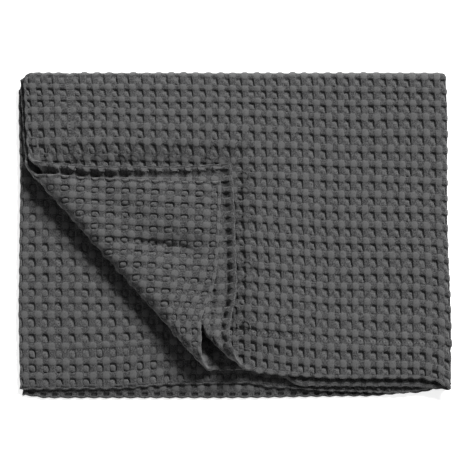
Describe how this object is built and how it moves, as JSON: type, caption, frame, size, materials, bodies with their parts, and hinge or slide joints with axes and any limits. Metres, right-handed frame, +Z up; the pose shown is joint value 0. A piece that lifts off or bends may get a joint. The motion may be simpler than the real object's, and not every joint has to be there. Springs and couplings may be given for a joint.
{
  "type": "folded waffle weave cotton blanket",
  "caption": "Waffle weave cotton blanket folded in quarters, its near left corner turned up and over.",
  "frame": {"origin": "middle of the footprint, on the surface that the blanket lies on", "axes": "+X along the folded blanket's longer side, towards its side fold; +Y towards its far fold; +Z up"},
  "size_m": [0.5076, 0.3882, 0.0364],
  "materials": {
    "cotton": "matt charcoal grey waffle weave cotton"
  },
  "bodies": {
    "root": {"blanket": "cotton"}
  },
  "joints": []
}
